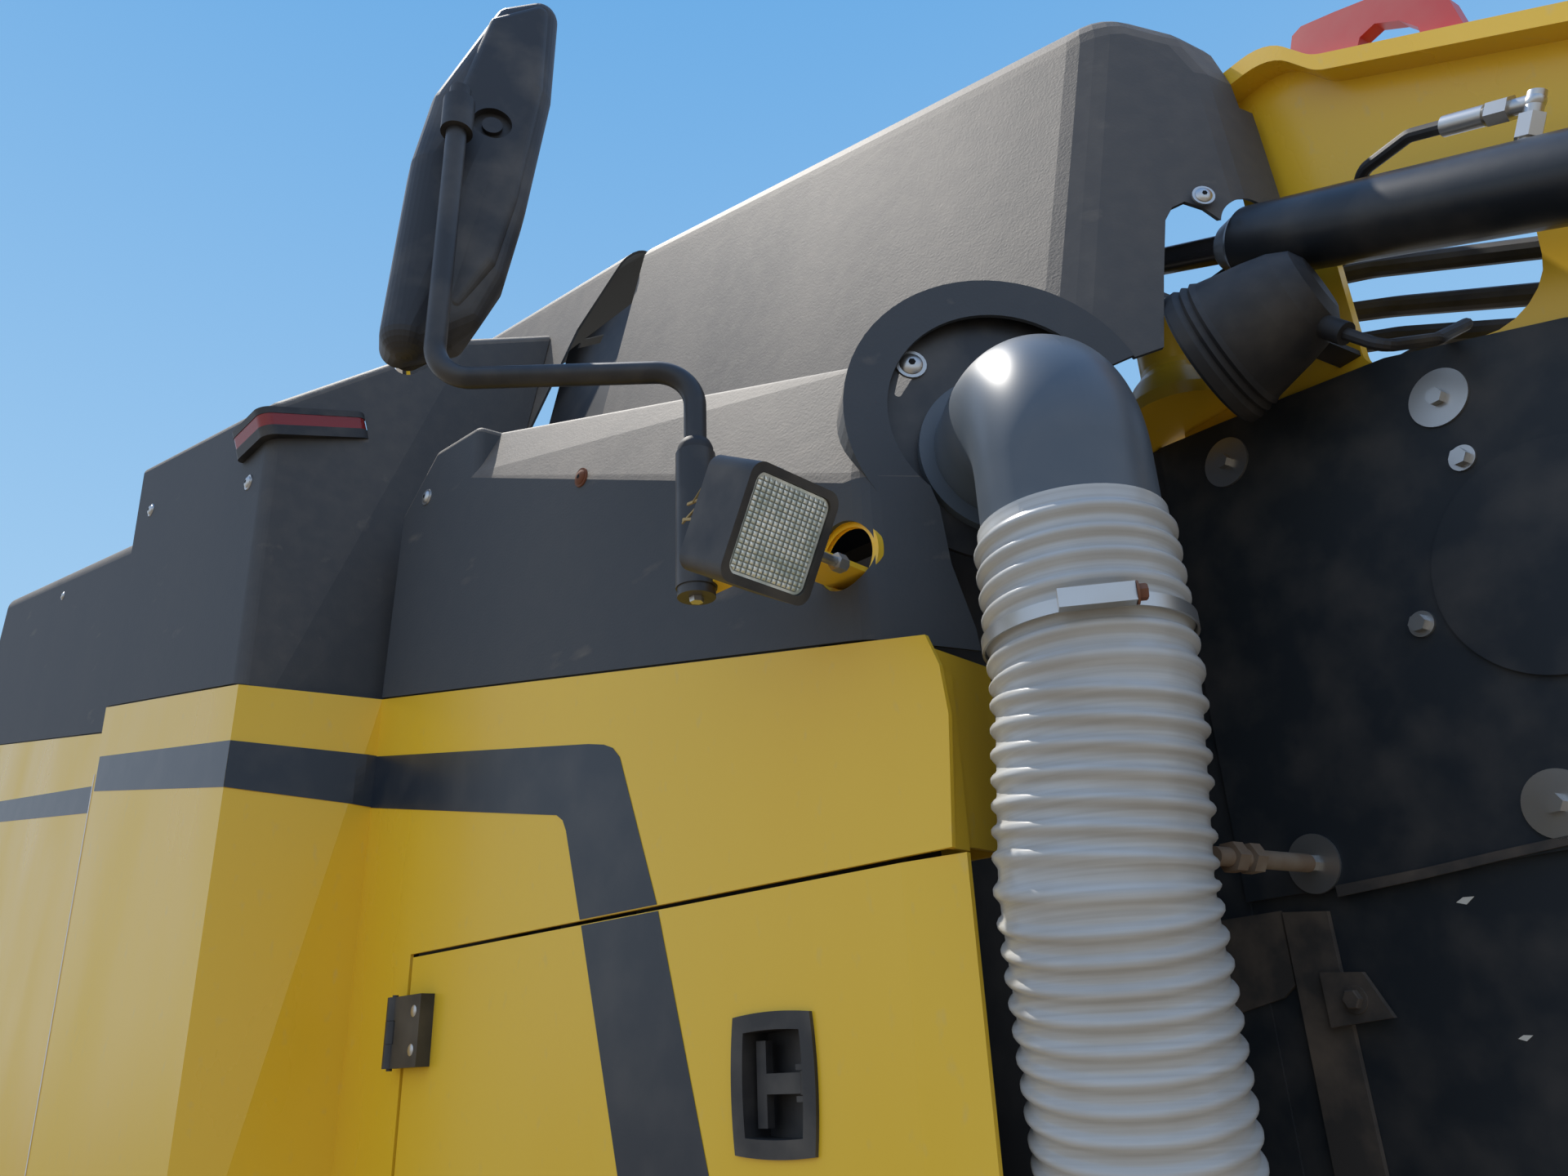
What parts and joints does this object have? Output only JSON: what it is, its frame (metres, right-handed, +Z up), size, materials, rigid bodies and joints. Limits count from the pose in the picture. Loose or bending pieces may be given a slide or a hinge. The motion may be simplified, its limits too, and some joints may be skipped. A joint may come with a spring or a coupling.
{
  "type": "road milling machine front corner bodywork section",
  "caption": "Front corner of a road milling machine's bodywork with service door, dust suction elbow and hose, mirror, work lamp and the conveyor carrier's side cheek.",
  "frame": {"origin": "centre of the mounting plate's inboard face, where the section bolts to the machine's main frame", "axes": "+X forward along the machine, +Y inboard towards the machine, +Z up; the skins face -Y"},
  "size_m": [5.3587, 1.043, 2.3356],
  "materials": {
    "yellow_paint": "semi-gloss construction yellow, dusty",
    "grey_cover": "grained warm grey moulding, sun-bleached",
    "dark_frame": "matt black paint",
    "black_metal": "black paint",
    "black_plastic": "black moulded plastic",
    "red_lens": "clear red lens",
    "clear_lens": "ribbed clear lens",
    "grey_duct": "smooth mid-grey moulding",
    "hose_plastic": "translucent off-white plastic",
    "zinc_steel": "zinc plated",
    "mirror": "flat mirror",
    "red_paint": "red paint",
    "dark_paint": "dark paint",
    "chrome_rod": "hard chrome",
    "black_rubber": "black rubber",
    "curtain_rubber": "dusty black rubber sheet",
    "rusty_steel": "rusty, dusty steel"
  },
  "bodies": {
    "main": {"frame_posts": "dark_frame", "frame_rails": "dark_frame", "frame_cross_rails": "dark_frame", "mounting_plate": "dark_frame", "pillar_shelves": "dark_frame", "inner_bulkhead": "dark_frame", "front_bulkhead": "dark_frame", "duct_shelf": "dark_frame", "rod_bracket": "dark_frame", "gap_screen": "dark_frame", "rear_side_panel": "yellow_paint", "rear_hood_cover": "grey_cover", "pillar_panel": "yellow_paint", "pillar_cap": "grey_cover", "marker_lamp_base": "black_plastic", "marker_lamp_lens": "red_lens", "side_panel": "yellow_paint", "hinge_frame_leaves": "black_metal", "side_cover": "grey_cover", "front_hood": "grey_cover", "rear_hood": "grey_cover", "duct_plate": "black_metal", "duct_elbow": "grey_duct", "suction_hose": "hose_plastic", "hose_clamp": "zinc_steel", "lower_duct": "black_metal", "lamp_bracket": "yellow_paint", "lamp_yoke": "zinc_steel", "mirror_socket": "black_metal", "front_frame_plate": "yellow_paint", "carrier_cheek": "yellow_paint", "lifting_eye": "red_paint", "cylinder_barrel": "dark_paint", "cylinder_rod": "chrome_rod", "cylinder_fitting": "zinc_steel", "cylinder_hose": "black_rubber", "warning_horn": "black_rubber", "horn_cable": "black_rubber", "upper_curtain": "curtain_rubber", "lower_curtain": "curtain_rubber", "curtain_washers": "zinc_steel", "tie_rod": "rusty_steel", "inner_hoses": "black_rubber"},
    "door": {"service_door": "yellow_paint", "hinge_door_leaves": "black_metal", "latch_cup": "black_plastic"},
    "handle": {"latch_handle": "black_plastic"},
    "arm": {"mirror_arm": "black_metal"},
    "head": {"mirror_clamp": "black_plastic", "mirror_housing": "black_plastic", "mirror_glass": "mirror"},
    "lamp": {"lamp_housing": "black_plastic", "lamp_lens": "clear_lens"}
  },
  "joints": [
    {"name": "door_hinge", "type": "hinge", "parent": "main", "child": "door", "pos_m": [-0.143, -0.715, 0.1], "axis": [0, 0, -1], "range_deg": [0, 110]},
    {"name": "latch_pull", "type": "hinge", "parent": "door", "child": "handle", "pos_m": [0.61, -0.686, 0.173], "axis": [0, 0, 1], "range_deg": [0, 85]},
    {"name": "mirror_swing", "type": "hinge", "parent": "main", "child": "arm", "pos_m": [0.59, -0.799, 0.7], "axis": [0, 0, 1], "range_deg": [-15, 90]},
    {"name": "mirror_turn", "type": "hinge", "parent": "arm", "child": "head", "pos_m": [0.385, -1.008, 1.294], "axis": [0, 0, 1], "range_deg": [-30, 30]},
    {"name": "lamp_tilt", "type": "hinge", "parent": "main", "child": "lamp", "pos_m": [0.74025, -0.803, 0.63385], "axis": [0, 1, 0], "range_deg": [-30, 30]}
  ]
}
